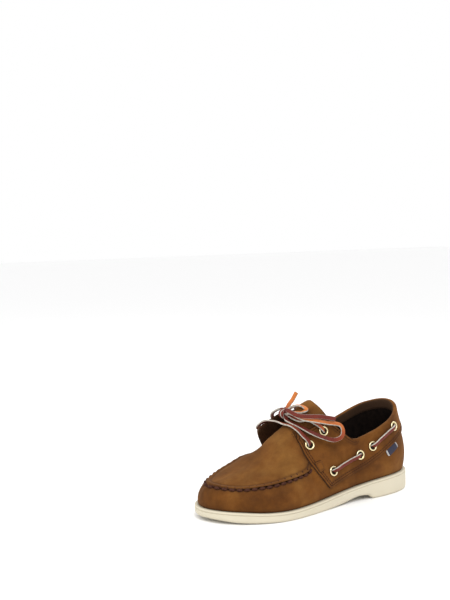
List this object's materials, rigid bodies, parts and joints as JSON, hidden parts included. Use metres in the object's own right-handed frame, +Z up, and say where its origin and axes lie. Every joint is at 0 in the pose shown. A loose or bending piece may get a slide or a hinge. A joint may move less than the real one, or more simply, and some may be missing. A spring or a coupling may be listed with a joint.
{
  "type": "laced moccasin loafer",
  "caption": "Left moccasin loafer with a hollow leather upper, hand-sewn plug, laced saddle with metal eyelets and a one-piece rubber sole.",
  "frame": {"origin": "on the floor under the middle of the heel, where the heel's flat tread rests", "axes": "+X from the heel to the toe, +Y to the outer side of the foot, +Z up"},
  "size_m": [0.2623, 0.0965, 0.1165],
  "materials": {
    "rubber": "matt cream",
    "nubuck": "brushed brown nubuck",
    "insole_leather": "dark brown",
    "eyelet_metal": "pale gold lacquer",
    "lace_leather": "burgundy waxed with pale edges",
    "tag_cloth": "plain woven"
  },
  "bodies": {
    "root": {"eyelet_side_lateral_1": "eyelet_metal", "eyelet_side_lateral_2": "eyelet_metal", "eyelet_side_lateral_3": "eyelet_metal", "eyelet_side_lateral_4": "eyelet_metal", "eyelet_side_medial_1": "eyelet_metal", "eyelet_side_medial_2": "eyelet_metal", "eyelet_side_medial_3": "eyelet_metal", "eyelet_side_medial_4": "eyelet_metal", "eyelet_throat_lateral_1": "eyelet_metal", "eyelet_throat_lateral_2": "eyelet_metal", "eyelet_throat_medial_1": "eyelet_metal", "eyelet_throat_medial_2": "eyelet_metal", "heel_strip": "nubuck", "insole": "insole_leather", "lace_arch": "lace_leather", "lace_bar_front": "lace_leather", "lace_end_lateral": "lace_leather", "lace_end_upright": "lace_leather", "lace_knot": "lace_leather", "lace_loop_lateral": "lace_leather", "lace_loop_medial": "lace_leather", "lace_side_lateral_front": "lace_leather", "lace_side_lateral_rear": "lace_leather", "lace_side_medial_front": "lace_leather", "lace_side_medial_rear": "lace_leather", "lace_strand_lateral": "lace_leather", "lace_strand_medial": "lace_leather", "outsole": "rubber", "saddle_lateral": "nubuck", "saddle_medial": "nubuck", "seam_tab_lateral": "nubuck", "seam_tab_medial": "nubuck", "tag": "tag_cloth", "tongue": "nubuck", "upper": "nubuck"}
  },
  "joints": []
}
